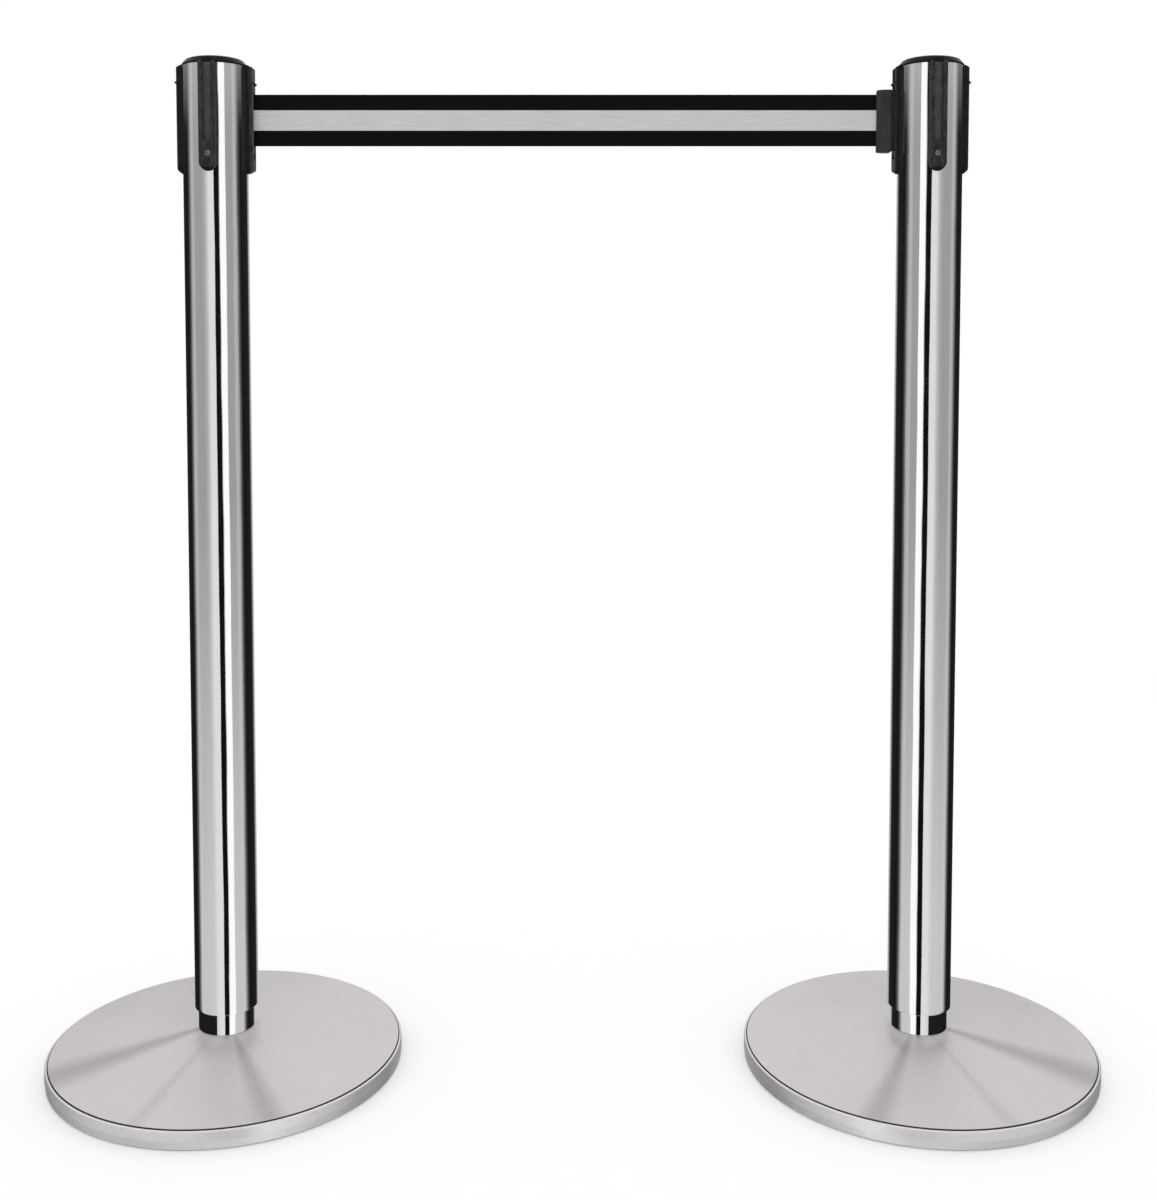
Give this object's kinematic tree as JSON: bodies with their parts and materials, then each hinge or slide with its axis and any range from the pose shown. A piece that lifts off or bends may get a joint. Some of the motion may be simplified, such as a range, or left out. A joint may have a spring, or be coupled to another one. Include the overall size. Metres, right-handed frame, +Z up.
{
  "type": "pair of retractable belt stanchions",
  "caption": "Two free-standing posts on round weighted bases, joined by a retractable striped belt that docks in a slotted head.",
  "frame": {"origin": "on the floor, midway between the two posts", "axes": "+Z up, +X from the left post to the right post, -Y towards the front, where the clip's front half is"},
  "size_m": [1.066, 0.356, 1.016],
  "materials": {
    "polished_tube": "mirror polished stainless tube with a fine lengthwise polish",
    "polished_neck": "mirror polished",
    "brushed_cover": "stainless sheet, spun and brushed round the centre",
    "black_plastic": "satin moulded, fine spark texture",
    "clip_plastic": "satin moulded",
    "cap_gloss": "smooth disc, blank",
    "inner_plastic": "moulded, unseen",
    "black_screws": "black oxide",
    "zinc_steel": "bright zinc plated",
    "cast_iron": "as cast, painted grey",
    "rubber": "moulded, fine ribs",
    "spring_steel": "blued strip",
    "bush_bronze": "sintered bronze",
    "webbing": "woven polyester, black with a silver-grey middle stripe"
  },
  "bodies": {
    "left_stanchion": {"left_floor_pad": "rubber", "left_base_weight": "cast_iron", "left_base_cover": "brushed_cover", "left_neck_collar": "polished_neck", "left_tie_bolt": "zinc_steel", "left_tie_washer": "zinc_steel", "left_post_plug": "zinc_steel", "left_post_tube": "polished_tube", "left_head_core": "inner_plastic", "left_core_lid": "inner_plastic", "left_core_screws": "zinc_steel", "left_receiver_screws": "black_screws", "left_belt_outlet": "black_plastic", "left_top_cap": "black_plastic", "left_cap_inlay": "cap_gloss", "left_spool_shaft": "zinc_steel", "left_spring_case": "inner_plastic", "left_spring_cover": "inner_plastic", "left_power_spring": "spring_steel", "left_front_receiver": "black_plastic", "left_back_receiver": "black_plastic", "left_outer_receiver": "black_plastic", "left_post_web": "webbing"},
    "left_spool": {"left_spool": "inner_plastic", "left_spool_bushes": "bush_bronze", "left_belt_roll": "webbing"},
    "right_stanchion": {"right_floor_pad": "rubber", "right_base_weight": "cast_iron", "right_base_cover": "brushed_cover", "right_neck_collar": "polished_neck", "right_tie_bolt": "zinc_steel", "right_tie_washer": "zinc_steel", "right_post_plug": "zinc_steel", "right_post_tube": "polished_tube", "right_head_core": "inner_plastic", "right_core_lid": "inner_plastic", "right_core_screws": "zinc_steel", "right_receiver_screws": "black_screws", "right_belt_outlet": "black_plastic", "right_top_cap": "black_plastic", "right_cap_inlay": "cap_gloss", "right_spool_shaft": "zinc_steel", "right_spring_case": "inner_plastic", "right_spring_cover": "inner_plastic", "right_power_spring": "spring_steel", "right_front_receiver": "black_plastic", "right_inner_receiver": "black_plastic", "right_outer_receiver": "black_plastic"},
    "right_spool": {"right_spool": "inner_plastic", "right_spool_bushes": "bush_bronze", "right_belt_roll": "webbing"},
    "belt_clip": {"left_clip_front": "clip_plastic", "left_clip_back": "clip_plastic", "left_clip_rivets": "black_screws", "left_clip_web": "webbing"},
    "spare_clip": {"right_clip_outer": "clip_plastic", "right_clip_inner": "clip_plastic", "right_clip_rivets": "black_screws", "right_web": "webbing"}
  },
  "joints": [
    {"name": "post_spacing", "type": "slide", "parent": "left_stanchion", "child": "right_stanchion", "axis": [1, 0, 0], "range_m": [-0.25, 1.28], "deforming": ["left_post_web"]},
    {"name": "left_spool_turn", "type": "hinge", "parent": "left_stanchion", "child": "left_spool", "pos_m": [-0.355, 0, 0.956], "axis": [0, 0, 1], "range_deg": [-6100, 1200]},
    {"name": "clip_lift", "type": "slide", "parent": "right_stanchion", "child": "belt_clip", "axis": [0, 0, 1], "range_m": [0, 0.09], "deforming": ["left_clip_web"]},
    {"name": "spare_belt_pull", "type": "slide", "parent": "right_stanchion", "child": "spare_clip", "axis": [0, 1, 0], "range_m": [0, 1.9], "stiffness_N_per_m": 3, "springref_m": -2, "deforming": ["right_web"]},
    {"name": "right_spool_turn", "type": "hinge", "parent": "right_stanchion", "child": "right_spool", "pos_m": [0.355, 0, 0.956], "axis": [0, 0, 1], "range_deg": [-8100, 60]}
  ],
  "couplings": [
    {"joint": "left_spool_turn", "follows": "post_spacing", "rad_per_m": -82.6},
    {"joint": "right_spool_turn", "follows": "spare_belt_pull", "rad_per_m": -74}
  ]
}
